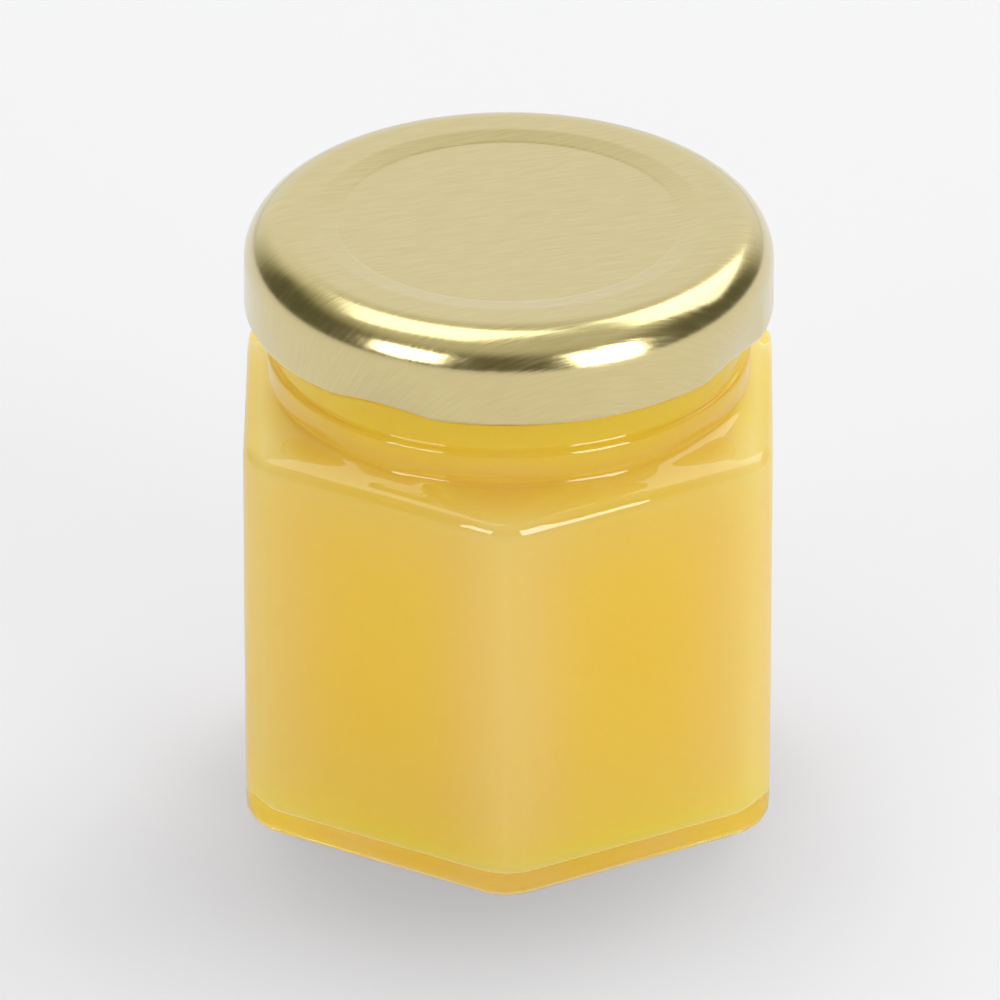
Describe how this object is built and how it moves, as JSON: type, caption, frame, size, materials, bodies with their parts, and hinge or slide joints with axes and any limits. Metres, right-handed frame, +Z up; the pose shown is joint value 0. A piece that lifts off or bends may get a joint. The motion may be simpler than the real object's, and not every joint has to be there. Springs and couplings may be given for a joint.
{
  "type": "honey jar",
  "caption": "Small hexagonal clear glass jar filled with pale yellow honey, with a sloping shoulder, a round beaded neck and a gold twist-off lid.",
  "frame": {"origin": "middle of the base, on the surface the jar stands on", "axes": "+Z up through the middle of the lid; one corner of the hexagonal body points to -Y, which is the front; the two flat sides face +X and -X"},
  "size_m": [0.046, 0.0516, 0.0538],
  "materials": {
    "glass": "clear smooth soda-lime container glass",
    "honey": null,
    "tinplate": "brushed tinplate under a clear gold lacquer, satin"
  },
  "bodies": {
    "root": {"jar": "glass", "honey": "honey", "lid": "tinplate"}
  },
  "joints": []
}
